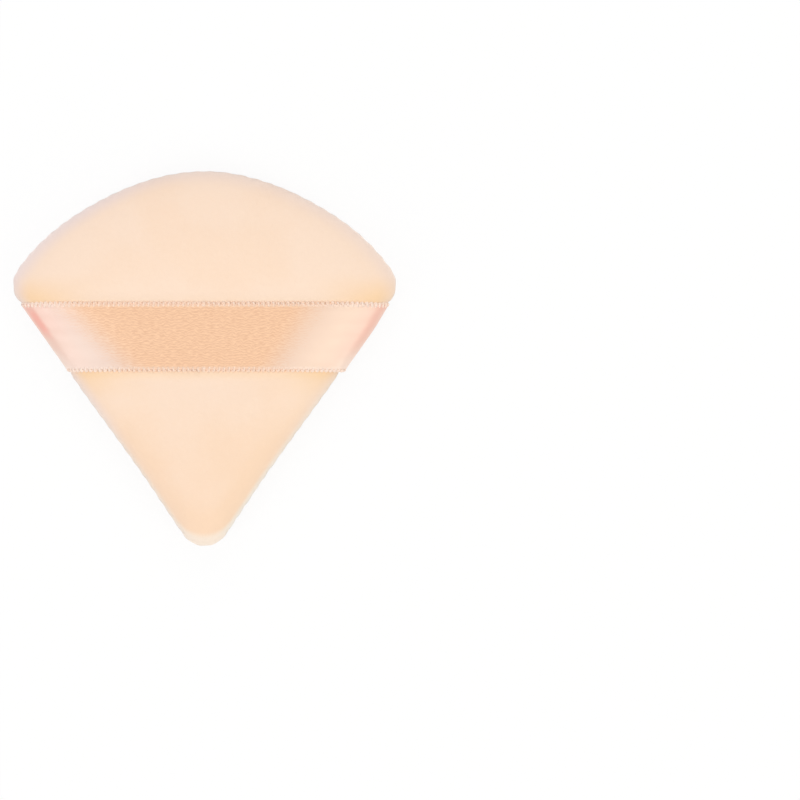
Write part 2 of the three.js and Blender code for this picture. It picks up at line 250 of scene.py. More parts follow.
class PuffStrapSettings(bpy.types.PropertyGroup):
    """Sizes of the satin finger strap and of the channel that it presses into the pad."""

    width: size("Width", "Across the ribbon with its picot edges", RIBBON_TOP - STRAP_LOW.y)
    thickness: size("Thickness", "Of the woven satin", 0.24 * MM)
    clearance: size("Clearance", "Between the ribbon and the velour", 0.1 * MM)
    seam_clearance: size("Seam clearance", "Between the layers held in the seam", 0.1 * MM)
    turn_radius: size("Turn radius", "Where the ribbon turns into the seam", 0.3 * MM)
    nest_depth: size(
        "Nest depth", "How far the strap sinks into the pile along its whole length", 0.42 * MM
    )
    nest_inset: size("Nest inset", "From the strap's edges in to where the pile rises", 0.55 * MM)
    nest_run_out: size("Nest run-out", "Over which the pile rises beside the strap", 0.8 * MM)
    dip_depth: size(
        "Dip depth", "How much further the strap presses the pad in beside the seams", 0.36 * MM
    )
    dip_inset: size("Dip inset", "From the strap's edges in to where the pad swells back", 0.9 * MM)
    dip_run_out: size("Dip run-out", "Over which the pad swells back", 2.6 * MM)
    right_slack: size(
        "Right slack", "How far the looser right end stands off the pad's edge", 0.6 * MM
    )
    seam_closing: size(
        "Seam closing", "Over which the seam closes under the satin's edges", 0.4 * MM
    )
    ripple_height: size("Ripple height", "Gentle waves of the satin", 0.04 * MM)
    gather_height: size("Gather height", "Small pleats where the ribbon enters the seam", 0.05 * MM)
    gather_pitch: size("Gather pitch", "Between those pleats", 2.6 * MM)
    gather_reach: size("Gather reach", "How far the pleats run in from the edge", 5 * MM)
    picot_pitch: size("Picot pitch", "Between the loops along the edges", 0.9 * MM)
    picot_width: size("Picot width", "Across the looped edge", 1.2 * MM)
    picot_thread: size("Picot thread", "Thickness of the looped thread", 0.5 * MM)
    picot_height: size("Picot height", "Thickness of the looped edge", 0.74 * MM)
    picot_sink: size("Picot sink", "How far the loops sit below the middle of the satin", 0.1 * MM)
    picot_overhang: size("Picot overhang", "How far the loops stand out past the satin", 0.65 * MM)
    picot_tuck: size("Picot tuck", "Over which the loops grow smaller into the seam", 3 * MM)


class PuffSewingSettings(bpy.types.PropertyGroup):
    """Sizes of the stitches."""

    thread_diameter: size("Thread", "Thickness of the sewing thread", TACK_HIGH.z - TACK_LOW.z)
    seam_inset: size("Seam inset", "From the pad's edge in to the machine seam", 1.1 * MM)
    stitch_length: size("Stitch length", "Of the machine seam", 2.7 * MM)
    stitch_gap: size("Stitch gap", "Between one stitch and the next", 0.35 * MM)
    turning_gap: size("Turning gap", "Stretch of one side that is closed by hand", 20 * MM)
    turning_gap_start: size("Turning gap start", "From the strap down to that stretch", 8 * MM)
    closing_pitch: size("Closing pitch", "Between the hand stitches", 2.4 * MM)
    closing_width: size("Closing width", "Swing of the hand stitches", 0.9 * MM)
    tack_inset: size("Tack inset", "From the pad's edge in to the strap's tacks", 1.9 * MM)
    tack_margin: size("Tack margin", "From the strap's edges in to the tacks", 0.6 * MM)
    tack_length: size("Tack length", "Of one stitch of a tack", 1.7 * MM)


class PuffColours(bpy.types.PropertyGroup):
    """Colours of the cloths and threads, and of the light and shade painted on them, in linear light.
    """

    velour: tint("Velour", "Peach face of the pile", (0.98, 0.77, 0.622))
    # Brushed nap, and also painted shade: this colour darkens the face towards the tip, more at its
    # sides
    velour_brushed_and_shaded: tint("Brushed velour", "Where the nap lies the other way", (0.965, 0.715, 0.53))
    # Painted shade, warmed by colour bounced off the ribbon, on the pile beside the strap
    velour_strap_shade: tint("Pressed velour", "Pile pressed beside the strap", (0.96, 0.67, 0.41))
    # Painted shade on the pile under the ribbon's loops, seen as dark dots between them
    velour_loop_shade: tint("Crushed velour", "Pile under the ribbon's loops", (0.74, 0.5, 0.4))
    # Painted sheen: a pale rim over the seam, standing in for light catching the pile
    velour_edge_sheen: tint("Velour edge", "Pile that stands open over the seam", (0.95, 0.9, 0.84))
    # Painted shade: a greyish lilac rim on the round edge, stronger at the left
    velour_round_shade: tint("Velour round edge", "Pile over the round edge", (0.85, 0.74, 0.79))
    satin: tint("Satin", "Face of the ribbon", (0.825, 0.455, 0.247))
    satin_float: tint("Satin floats", "The lighter threads of the satin", (0.96, 0.592, 0.353))
    # Painted highlight: the satin's glow where it curves over the pad's shoulders, at each end
    satin_shoulder_glow: tint(
        "Bent satin", "Where the floats spread over the pad's shoulder", (0.8, 0.583, 0.48)
    )
    satin_shoulder_glow_right: tint("Bent satin, right", "The same at the looser end", (0.85, 0.595, 0.45))
    # Painted highlight, redder than the shoulder glow, where the ribbon turns down the pad's side
    satin_rim_glow: tint("Satin rim", "Where the ribbon turns down the pad's side", (0.86, 0.54, 0.42))
    # Painted shade: deep red-pink where the ribbon folds down into the seam
    satin_fold_shade: tint("Satin ends", "Where the ribbon turns into the seam", (0.90, 0.36, 0.27))
    # Own colour of the looped thread; the satin also uses it for a painted highlight near its lower
    # ends
    picot: tint("Picot", "Looped thread of the ribbon's edges", (0.99, 0.805, 0.7))
    wadding: tint("Wadding", "Fibre filling", (0.92, 0.86, 0.78))
    thread: tint("Thread", "Sewing thread", (0.9, 0.65, 0.48))


class PuffStageSettings(bpy.types.PropertyGroup):
    """The view, the floor and the light."""

    field: size("Field", "Width that the picture spans at the seam", 145.72 * MM)
    camera_height: size("Camera height", "Above the floor", 1.5)
    floor_size: size("Floor size", "Side of the square floor", 8.0)
    floor: tint("Floor", "Plain pale floor", (0.98, 0.98, 0.98))
    ambient: tint("Ambient", "Light from all round", (0.566, 0.566, 0.566))
    floor_glow: amount("Floor glow", "Share of the floor's white that no shadow reaches", 0.9)
    lamp_distance: size("Lamp distance", "From the pad to each lamp", 1.0)
    side_level: amount(
        "Side lamp level", "Brightness of the two long lamps beside the strap's ends", 2.2
    )
    side_width: size("Side lamp width", "Of each long lamp", 0.24)
    left_tint: tint("Left lamp tint", "Colour of its light", (0.965, 0.95, 0.95))
    left_length: size("Left lamp length", "Along the arc over the pad", 1.68)
    right_tint: tint("Right lamp tint", "Colour of its light", (1.0, 0.975, 0.84))
    right_length: size("Right lamp length", "Along the arc over the pad", 1.84)
    back_level: amount("Back lamp level", "Brightness of the lamp over the round edge", 0.8)
    back_tint: tint("Back lamp tint", "Colour of its light", (1.0, 0.99, 1.0))
    back_size: size("Back lamp size", "Side of that lamp", 0.9)


def smooth_step(value, low, high):
    """0 below low and 1 above high, with a smooth slope between."""
    t = np.clip((value - low) / (high - low), 0, 1)
    return t * t * (3 - 2 * t)


def unit(vectors):
    """The same directions, each one long."""
    return vectors / np.maximum(np.linalg.norm(vectors, axis=-1, keepdims=True), SHORTEST)


def run_length(path):
    """Distance along a path, from its start to each of its points."""
    steps = np.linalg.norm(np.diff(path, axis=0), axis=1)
    return np.concatenate(((0.0,), np.cumsum(steps)))


def at_length(path, lengths):
    """Points at the given distances along a path."""
    run = run_length(path)
    return np.stack([np.interp(lengths, run, path[:, k]) for k in range(path.shape[1])], -1)


def arc(centre, radius, start, end):
    """Points along an arc and the angle of the outward normal at each, without the last one."""
    angle = np.linspace(start, end, STRETCH_STEPS, endpoint=False)
    return centre + radius * np.stack((np.cos(angle), np.sin(angle)), -1), angle


def soft_noise(points, scale):
    """Smooth unevenness from -1 to 1 over features of about that size."""
    values = [noise.noise(Vector(point) / scale) for point in points.reshape(-1, 3)]
    return np.reshape(values, points.shape[:-1])


class PadForm:
    """The padded fan: its outline, and the heights of its two faces from the sewn edges."""

    def __init__(self, scene):
        self.pad = scene.puff_pad
        self.strap = scene.puff_strap
        self.tip_y = -self.pad.length / 2
        self.crown = np.array((0.0, self.tip_y + self.pad.crown_height))
        self.half = self.right_half()
        self.edge, self.angle = self.whole_outline()
        self.out = np.stack((np.cos(self.angle), np.sin(self.angle)), -1)
        self.run = run_length(np.vstack((self.edge, self.edge[:1])))
        ray = self.edge - self.crown
        self.bearing = np.arctan2(ray[:, 1], ray[:, 0])
        self.reach = np.hypot(ray[:, 0], ray[:, 1])

    def past_strap(self, y):
        """Distance from the strap's nearer edge, less than 0 under the strap."""
        return np.abs(y - STRAP_MIDDLE) - self.strap.width / 2

    def under_strap(self, y):
        """1 under the strap, falling smoothly to 0 where the pad is clear of it."""
        inward = self.past_strap(y) + self.strap.dip_inset
        return 1 - smooth_step(inward, 0, self.strap.dip_run_out)

    def in_nest(self, y):
        """1 under the strap, falling steeply to 0 at its edges."""
        inward = self.past_strap(y) + self.strap.nest_inset
        return 1 - smooth_step(inward, 0, self.strap.nest_run_out)

    def closed_seam(self, x, y):
        """0 where the strap passes between the panels' edges, rising to 1 under its edges."""
        beyond = self.past_strap(y) + self.strap.picot_overhang
        closed = smooth_step(beyond, -self.strap.seam_closing, SEAM_SHUT)
        at_sides = np.abs(x) > self.pad.width / 4
        return np.where(at_sides, closed, 1)

    def right_half(self):
        """Points and normal angles from the middle of the tip to the middle of the round edge."""
        pad = self.pad
        top_y = pad.length / 2
        corner = np.array((pad.width / 2 - pad.corner_radius, self.tip_y + pad.corner_height))
        tip = np.array((0.0, self.tip_y + pad.tip_radius))
        drop = top_y - corner[1]
        round_radius = corner[0] ** 2 + drop**2 - pad.corner_radius**2
        round_radius /= 2 * (drop - pad.corner_radius)
        round_centre = np.array((0.0, top_y - round_radius))
        reach = corner - tip
        lean = math.acos((pad.tip_radius - pad.corner_radius) / math.hypot(*reach))
        self.side_angle = math.atan2(reach[1], reach[0]) - lean
        shoulder = corner - round_centre
        shoulder_angle = math.atan2(shoulder[1], shoulder[0])

        tip_points, tip_angles = arc(tip, pad.tip_radius, -math.pi / 2, self.side_angle)
        corner_points, corner_angles = arc(
            corner, pad.corner_radius, self.side_angle, shoulder_angle
        )
        round_points, round_angles = arc(round_centre, round_radius, shoulder_angle, math.pi / 2)
        t = np.linspace(0, 1, STRETCH_STEPS, endpoint=False)
        side_out = np.array((math.cos(self.side_angle), math.sin(self.side_angle)))
        low = tip + pad.tip_radius * side_out
        side_points = low + t[:, None] * (corner_points[0] - low)
        side_draw = pad.side_draw * np.sin(math.pi * (1 - t) ** 2) ** 2
        side_draw += pad.strap_pinch * self.under_strap(side_points[:, 1])
        side_points = side_points - side_draw[:, None] * side_out
        round_draw = pad.round_edge_draw * np.sin(math.pi * t) ** 2
        round_out = np.stack((np.cos(round_angles), np.sin(round_angles)), -1)
        round_points = round_points - round_draw[:, None] * round_out
        points = np.vstack((tip_points, side_points, corner_points, round_points, ((0.0, top_y),)))
        angles = np.concatenate((
            tip_angles,
            np.full(STRETCH_STEPS, self.side_angle),
            corner_angles,
            round_angles,
            (math.pi / 2,),
        ))
        return points, angles

    def whole_outline(self):
        """Columns round the seam from the tip, closer together where the edge turns."""
        points, angles = self.half
        points = np.vstack((points, (points * (-1, 1))[-2::-1]))
        angles = np.concatenate((angles, math.pi - angles[-2::-1]))
        measure = run_length(points) + TURN_CROWDING * (angles - angles[0])
        places = np.linspace(0, measure[-1], OUTLINE_COLUMNS, endpoint=False)
        edge = np.stack([np.interp(places, measure, points[:, k]) for k in (0, 1)], -1)
        return edge, np.interp(places, measure, angles)

    def side(self, y, inset=0.0):
        """Distance from the middle line out to the pad's edge at one height."""
        points, angles = self.half
        line = points - inset * np.stack((np.cos(angles), np.sin(angles)), -1)
        return np.interp(y, line[:, 1], line[:, 0])

    def share(self, x, y):
        """Share of the way from the crown out to the pad's edge."""
        offset = np.stack(np.broadcast_arrays(x, y), -1) - self.crown
        bearing = np.arctan2(offset[..., 1], offset[..., 0])
        reach = np.interp(bearing, self.bearing, self.reach, period=FULL_TURN)
        return np.hypot(offset[..., 0], offset[..., 1]) / reach

    def swell(self, share):
        """How full the padding is, from 1 at the crown to 0 at the edge."""
        rise = 1 - np.minimum(share, 1) ** self.pad.crown_fullness
        return rise**self.pad.shoulder_roundness

    def front_height(self, crown, y, share):
        """Height of the front above its sewn edge, with the channel that the strap presses in."""
        bed = self.strap.nest_depth * self.in_nest(y)
        bed = bed + self.strap.dip_depth * share**2 * self.under_strap(y)
        return (crown - bed) * self.swell(share)

    def back_depth(self, crown, share):
        """Depth of the back below its sewn edge, flat where it rests."""
        return np.minimum(crown, (crown + self.pad.rest_flattening) * self.swell(share))

    def inset(self, distance):
        """The outline set in by a distance, which may differ from column to column."""
        return self.edge - np.asarray(distance)[..., None] * self.out

    def face(self, shares, edge, rim, crown, is_front):
        """Rings of points over one face, from the crown out to an edge at the level of its rim."""
        shares = np.asarray(shares)[:, None]
        plan = self.crown + shares[..., None] * (edge - self.crown)
        if is_front:
            heights = rim + self.front_height(crown, plan[..., 1], shares)
        else:
            heights = rim - self.back_depth(crown, shares)
        return np.dstack((plan, np.broadcast_to(heights, plan.shape[:2])))

    def level_ring(self, inset, level):
        """One ring that is set in from the outline, at a level."""
        level = np.broadcast_to(level, len(self.edge))
        return np.column_stack((self.inset(inset), level))[None]


def shares_outward(count):
    """Shares of the way to the edge, closer together near it."""
    return 1 - (1 - np.arange(1, count + 1) / count) ** EDGE_CROWDING


def face_columns(share):
    """How many of the columns a ring has, fewer near the crown."""
    columns = OUTLINE_COLUMNS
    while share < FULL_COLUMN_SHARE * columns / OUTLINE_COLUMNS and columns > FEWEST_COLUMNS:
        columns //= 2
    return columns


def thinned(rings, shares):
    """The same rings, with fewer points near the crown."""
    return [ring[:: OUTLINE_COLUMNS // face_columns(share)] for ring, share in zip(rings, shares)]


def link_piece(name, mesh):
    piece = bpy.data.objects.new(name, mesh)
    bpy.context.scene.collection.objects.link(piece)
    return piece


class Shell:
    """Points and faces that grow into one mesh. Each point keeps a vector of how the cloth lies."""

    def __init__(self):
        self.points = []
        self.lays = []
        self.faces = []
        self.count = 0

    def add(self, points, lay):
        """Takes in points and returns the number of the first."""
        first = self.count
        points = np.asarray(points, float).reshape(-1, 3)
        self.points.append(points)
        self.lays.append(np.broadcast_to(lay, points.shape))
        self.count += len(points)
        return first

    def band(self, a, count_a, b, count_b):
        """Faces from one ring out to the next, which has as many points, twice as many or half."""
        few, many, count = (a, b, count_a) if count_a <= count_b else (b, a, count_b)
        if max(count_a, count_b) not in (count, 2 * count):
            raise ValueError(f"rings of {count_a} and {count_b} points can't be joined")
        for i in range(count):
            j = (i + 1) % count
            if count_a == count_b:
                self.faces.append((few + i, many + i, many + j, few + j))
            else:
                middle = many + 2 * i + 1
                self.faces.append((few + i, many + 2 * i, middle))
                self.faces.append((few + i, middle, few + j))
                self.faces.append((few + j, middle, many + 2 * j))

    def loft(self, rings, lays, first_pole, last_pole):
        """A closed surface through rings of points, with a pole at each end."""
        starts = [self.add(ring, lay) for ring, lay in zip(rings, lays)]
        counts = [len(ring) for ring in rings]
        for (a, count_a), (b, count_b) in pairwise(zip(starts, counts)):
            self.band(a, count_a, b, count_b)
        first = self.add(first_pole, lays[0][0])
        last = self.add(last_pole, lays[-1][0])
        for i in range(counts[0]):
            self.faces.append((first, starts[0] + i, starts[0] + (i + 1) % counts[0]))
        for i in range(counts[-1]):
            self.faces.append((last, starts[-1] + (i + 1) % counts[-1], starts[-1] + i))

    def slab(self, over, under, lay):
        """A thin closed solid between two grids of points."""
        rows, columns = over.shape[:2]
        numbers = np.arange(rows * columns).reshape(rows, columns)
        top = self.add(over, lay.reshape(-1, 3)) + numbers
        bottom = self.add(under, lay.reshape(-1, 3)) + numbers
        for i in range(rows - 1):
            for j in range(columns - 1):
                a, b, c, d = (i, j), (i, j + 1), (i + 1, j + 1), (i + 1, j)
                self.faces.append((top[a], top[b], top[c], top[d]))
                self.faces.append((bottom[a], bottom[d], bottom[c], bottom[b]))
        border = [(0, j) for j in range(columns - 1)]
        border += [(i, columns - 1) for i in range(rows - 1)]
        border += [(rows - 1, j) for j in range(columns - 1, 0, -1)]
        border += [(i, 0) for i in range(rows - 1, 0, -1)]
        for here, there in pairwise(border + border[:1]):
            self.faces.append((bottom[here], bottom[there], top[there], top[here]))

    def tube(self, path, radius, guide, painted_light_ramp=0.0):
        """A thread along a path. The guide points out of it, which keeps it from twisting.

        The painted light ramp is 0 where the thread has its plain colours and 1 where a painted
        highlight makes it palest.
        """
        along = unit(np.gradient(path, axis=0))
        out = unit(guide - np.sum(guide * along, -1, keepdims=True) * along)
        across = np.cross(along, out)
        turn = np.arange(THREAD_SIDES) * FULL_TURN / THREAD_SIDES
        spokes = np.cos(turn)[:, None] * out[:, None] + np.sin(turn)[:, None] * across[:, None]
        rings = path[:, None] + np.broadcast_to(radius, len(path))[:, None, None] * spokes
        lays = np.empty(rings.shape)
        lays[..., 0] = run_length(path)[:, None]
        lays[..., 1] = turn
        lays[..., 2] = np.broadcast_to(painted_light_ramp, len(path))[:, None]
        self.loft(rings, lays, path[0], path[-1])

    def build(self, name, material):
        """The finished mesh as an object, with its faces turned outwards."""
        mesh = bpy.data.meshes.new(name)
        faces = [tuple(map(int, face)) for face in self.faces]
        mesh.from_pydata(np.vstack(self.points).tolist(), [], faces)
        if mesh.validate():
            raise RuntimeError(f"{name} has faces that don't hold together")
        attribute = mesh.attributes.new(LAY, "FLOAT_VECTOR", "POINT")
        attribute.data.foreach_set("vector", np.vstack(self.lays).astype(np.float32).ravel())
        work = bmesh.new()
        work.from_mesh(mesh)
        bmesh.ops.recalc_face_normals(work, faces=work.faces)
        is_closed = all(len(edge.link_faces) == 2 for edge in work.edges)
        work.to_mesh(mesh)
        work.free()
        if not is_closed:
            raise RuntimeError(f"{name} isn't a closed surface")
        mesh.polygons.foreach_set("use_smooth", np.ones(len(mesh.polygons), bool))
        mesh.set_sharp_from_angle(angle=SHARP_TURN)
        mesh.materials.append(material)
        return link_piece(name, mesh)


class Signal:
    """One output of a node. Sums on signals add Math nodes beside it."""

    def __init__(self, finish, socket):
        self.finish = finish
        self.socket = socket

    def maths(self, operation, *values):
        return self.finish.node("ShaderNodeMath", {"operation": operation}, dict(enumerate(values)))

    def __add__(self, other):
        return self.maths("ADD", self, other)

    def __sub__(self, other):
        return self.maths("SUBTRACT", self, other)

    def __rsub__(self, other):
        return self.maths("SUBTRACT", other, self)

    def __mul__(self, other):
        return self.maths("MULTIPLY", self, other)

    def __abs__(self):
        return self.maths("ABSOLUTE", self)

    def sine(self):
        return self.maths("SINE", self)

    __radd__ = __add__
    __rmul__ = __mul__


class Finish:
    """The nodes of one material or of the world, all of them added by node()."""

    def __init__(self, owner):
        self.owner = owner
        owner.use_nodes = True
        self.tree = owner.node_tree
        self.tree.nodes.clear()

    def node(self, kind, settings=None, sockets=None, output=0):
        """Adds a node: first its settings, then the values or links of its sockets."""
        made = self.tree.nodes.new(kind)
        for name, value in (settings or {}).items():
            setattr(made, name, value)
        for name, value in (sockets or {}).items():
            if isinstance(value, Signal):
                self.tree.links.new(value.socket, made.inputs[name])
            else:
                made.inputs[name].default_value = value
        return Signal(self, made.outputs[output]) if made.outputs else None

    def parts(self, vector, count=3):
        """The first values of a vector."""
        return [
            self.node("ShaderNodeSeparateXYZ", None, {0: vector}, output=k) for k in range(count)
        ]

    def lay(self):
        """How the cloth lies at a point, as three values."""
        vector = self.node("ShaderNodeAttribute", {"attribute_name": LAY}, output="Vector")
        return self.parts(vector)

    def point(self):
        """The place in the shared frame."""
        return self.node("ShaderNodeTexCoord", output="Object")

    def grain(self, place, fineness, detail=2.0, roughness=0.5):
        """Noise from 0 to 1 with so many features to a unit of the place."""
        sockets = {"Vector": place, "Scale": fineness, "Detail": detail, "Roughness": roughness}
        return self.node("ShaderNodeTexNoise", None, sockets)

    def ribbon_grain(self, along, across, fineness, layer=0.0, detail=1.0, roughness=0.5):
        """Noise from 0 to 1 that is stretched to a fineness along the ribbon and one across it."""
        sockets = {0: along * fineness[0], 1: across * fineness[1], 2: layer}
        place = self.node("ShaderNodeCombineXYZ", None, sockets)
        return self.grain(place, 1.0, detail, roughness)

    def rising(self, value, low, high):
        """0 below low and 1 above high, with a smooth slope between."""
        sockets = {"Value": value, "From Min": low, "From Max": high}
        return self.node("ShaderNodeMapRange", {"interpolation_type": "SMOOTHSTEP"}, sockets)

    def blend(self, share, first, second):
        """One colour passing into another."""
        colours = [c if isinstance(c, Signal) else (*c, 1.0) for c in (first, second)]
        sockets = {0: share, 6: colours[0], 7: colours[1]}
        return self.node("ShaderNodeMix", {"data_type": "RGBA"}, sockets, output=2)

    def relief(self, height, depth, strength=1.0):
        """A normal for unevenness of that depth."""
        sockets = {"Height": height, "Distance": depth, "Strength": strength}
        return self.node("ShaderNodeBump", None, sockets)

    def surface(self, **sockets):
        """Ends the material in one Principled shader."""
        named = {}
        for name, value in sockets.items():
            named[name.replace("_", " ").title().replace("Ior", "IOR")] = value
        shader = self.node("ShaderNodeBsdfPrincipled", None, named)
        self.node("ShaderNodeOutputMaterial", None, {"Surface": shader})
        return self.owner


def velour_finish(colours):
    """Short dense pile with a soft sheen, with painted shade beside the strap, under its loops, on
    the round edge and towards the tip, and a painted sheen over the seam.
    """
    finish = Finish(bpy.data.materials.new("velour"))
    from_edge, from_strap, below_strap = finish.lay()
    point = finish.point()
    sideways, up = finish.parts(point, 2)
    pile = finish.grain(point, PILE_FINENESS, roughness=0.6)
    tufts = finish.grain(point, TUFT_FINENESS)
    nap = finish.rising(finish.grain(point, NAP_FINENESS, detail=1.5), 0.38, 0.66)
    at_right = finish.rising(sideways, -4 * MM, 6 * MM)
    at_left = 1 - finish.rising(sideways, -24 * MM, 0.0)
    toward_tip = 1 - finish.rising(up, -30 * MM, 4 * MM)
    at_tip = 1 - finish.rising(up, -33 * MM, -29 * MM)
    at_side = 1 - finish.rising(from_edge, 2 * MM, 8 * MM)
    edge = 1 - finish.rising(from_edge - 1.0 * MM * at_tip, 0.0, 1.6 * MM)
    round_edge = 1 - finish.rising(from_edge, 0.0, 3.2 * MM)
    beside_strap = 1 - finish.rising(from_strap, 0.0, 1.8 * MM)
    round_strap = 1 - finish.rising(from_strap, 0.5 * MM, 5.5 * MM)
    near_seam = 1 - finish.rising(from_edge, 1.5 * MM, 14 * MM)
    # Painted shade with the ribbon's bounced colour: a thin band along the strap's edges, stronger
    # below it, and a wider patch near the seams
    shade_painted = beside_strap * (0.1 + 0.25 * below_strap)
    shade_painted = shade_painted + (0.8 - 0.25 * below_strap) * round_strap * near_seam
    # Painted shade under the outer half of the loops
    past_loops = finish.rising(from_strap, -0.45 * MM, -0.15 * MM)
    loop_shade = finish.rising(from_strap, -0.9 * MM, -0.7 * MM) * (1 - past_loops)
    speckle = 0.35 * (tufts - 0.5) + 0.5 * (pile - 0.5)
    # Random nap and speckle, plus painted shade towards the tip, deeper near the sides
    shade = 0.35 * nap + speckle + toward_tip * (0.6 + 0.5 * at_side)
    colour = finish.blend(shade, colours.velour, colours.velour_brushed_and_shaded)
    colour = finish.blend(shade_painted, colour, colours.velour_strap_shade)
    colour = finish.blend(loop_shade * 0.8, colour, colours.velour_loop_shade)
    # Painted shade on the round upper edge, stronger at the left
    rounded = round_edge * (1 - toward_tip) * (0.26 + 0.3 * at_left)
    colour = finish.blend(rounded, colour, colours.velour_round_shade)
    # Painted sheen on the pale rim along the lower edges, strongest on the right, where the low lamp
    # grazes it
    edge_sheen = edge * toward_tip * (0.55 + 0.4 * at_right * (1 - at_tip))
    colour = finish.blend(edge_sheen, colour, colours.velour_edge_sheen)
    return finish.surface(
        base_color=colour,
        roughness=0.86 + 0.12 * pile,
        normal=finish.relief(pile + 0.8 * tufts, PILE_DEPTH, 0.55),
        specular_ior_level=0.12,
        sheen_weight=1.0,
        sheen_roughness=0.36,
        sheen_tint=(1.0, 0.96, 0.93, 1.0),
    )


def satin_finish(colours):
    """Woven satin whose long floats run along the ribbon, with painted highlights over the pad's
    shoulders and down its sides, and painted shade where its ends fold into the seam.
    """
    finish = Finish(bpy.data.materials.new("satin"))
    along, across, to_rim = finish.lay()
    drift = finish.ribbon_grain(along, across, DRIFT_FINENESS, detail=2.0)
    wavy = across + drift * FLOAT_DRIFT
    floats = finish.ribbon_grain(along, wavy, FLOAT_FINENESS, detail=2.0, roughness=0.6)
    weft = finish.ribbon_grain(along, across, WEFT_FINENESS)
    zigzag = finish.ribbon_grain(along, across, ZIGZAG_FINENESS, layer=5.0)
    rows = ((across + zigzag * FLOAT_ZIGZAG) * (FULL_TURN / FLOAT_PITCH)).sine()
    woven = floats + 0.07 * rows
    colour = finish.blend(finish.rising(woven, 0.365, 0.655), colours.satin, colours.satin_float)
    # Painted highlight: a paler glow band over the pad's shoulders, wider at the right end
    right = finish.rising(along, 0.0, 20 * MM)
    spread = 4 * MM * right - 0.33 * across * (1 - right) + 7 * MM * (woven - 0.5)
    shoulder_glow = 1 - finish.rising(to_rim - spread, 8 * MM, 16.5 * MM)
    shoulder = finish.blend(right, colours.satin_shoulder_glow, colours.satin_shoulder_glow_right)
    colour = finish.blend(shoulder_glow, colour, shoulder)
    # Painted highlight carrying the glow down the ribbon's turn, weaker at the lower rows
    over_rim = 1 - finish.rising(to_rim, 4 * MM, 9 * MM)
    low = 1 - finish.rising(across, -5.5 * MM, -1 * MM)
    rim_glow = over_rim * (0.6 + 0.4 * right) * (1 - 0.5 * low)
    colour = finish.blend(rim_glow, colour, colours.satin_rim_glow)
    selvedge = finish.rising(abs(across), 5.2 * MM, 5.8 * MM)
    colour = finish.blend(0.3 * selvedge, colour, colours.picot)
    # Painted shade spreading from the left end's fold over its upper part
    near_end = 1 - finish.rising(to_rim, 4 * MM, 13 * MM)
    upper = finish.rising(across, -1.5 * MM, 3 * MM)
    colour = finish.blend(0.16 * near_end * upper * (1 - right), colour, colours.satin_fold_shade)
    # Painted shade in the fold where each end turns into the seam, mostly on the upper part,
    # strongest at the left
    painted_light_ramp = 0.45 + 0.55 * finish.rising(to_rim, 0.8 * MM, 2.4 * MM)
    turned = painted_light_ramp * (1 - finish.rising(to_rim, 3.1 * MM, 4.6 * MM))
    at_corner = finish.rising(across, 3.6 * MM, 6 * MM)
    folded = finish.rising(across, -1.2 * MM, 2.2 * MM) * (1 - 0.75 * at_corner)
    drawn = finish.rising(across, -4.5 * MM, 2 * MM)
    shaded = 0.36 * drawn * right + (0.08 + 0.82 * folded) * (1 - right)
    colour = finish.blend(turned * shaded, colour, colours.satin_fold_shade)
    # Painted highlight: the lower part of each end, near the seam, is paled towards the picot colour
    low_end = low * (1 - finish.rising(to_rim, 2.5 * MM, 5 * MM))
    colour = finish.blend(0.45 * low_end, colour, colours.picot)
    return finish.surface(
        base_color=colour,
        roughness=0.28 + 0.1 * floats,
        normal=finish.relief(floats + 0.25 * weft, SATIN_DEPTH, 0.4),
        ior=1.7,
        specular_ior_level=1.0,
        sheen_weight=0.15,
        sheen_roughness=0.3,
    )


def darker(colour, share):
    """A share of a colour, for painted shade."""
    return tuple(share * part for part in colour)


def thread_finish(name, colour, shaded, twist):
    """Thread of two plies, with the twist as slanting ridges, shade painted into the grooves between
    them, and paler where a highlight is painted on.
    """
    finish = Finish(bpy.data.materials.new(name))
    along, turn, painted_light_ramp = finish.lay()
    plies = 0.5 + 0.5 * (along * (FULL_TURN / twist) + 2 * turn).sine()
    fuzz = finish.grain(finish.point(), FUZZ_FINENESS)
    # Painted shade in the grooves between the plies, lightened where a highlight is painted on
    lit = 0.35 + plies * 0.45 + fuzz * 0.2 + painted_light_ramp * 0.5
    return finish.surface(
        base_color=finish.blend(lit, shaded, colour),
        roughness=0.5 + 0.2 * fuzz,
        normal=finish.relief(plies + 0.3 * fuzz, PLY_DEPTH, 0.6),
        specular_ior_level=0.3,
        sheen_weight=0.12,
        sheen_roughness=0.4,
    )


def wadding_finish(colour):
    """Matted loose fibres, with shade painted into the hollows of the mat."""
    finish = Finish(bpy.data.materials.new("wadding"))
    mat = finish.grain(finish.point(), MAT_FINENESS, detail=5.0, roughness=0.7)
    return finish.surface(
        base_color=finish.blend(mat, darker(colour, WADDING_SHADE), colour),
        roughness=0.9 + 0.1 * mat,
        normal=finish.relief(mat, MAT_DEPTH, 0.8),
        sheen_weight=0.4,
        specular_ior_level=0.1,
    )


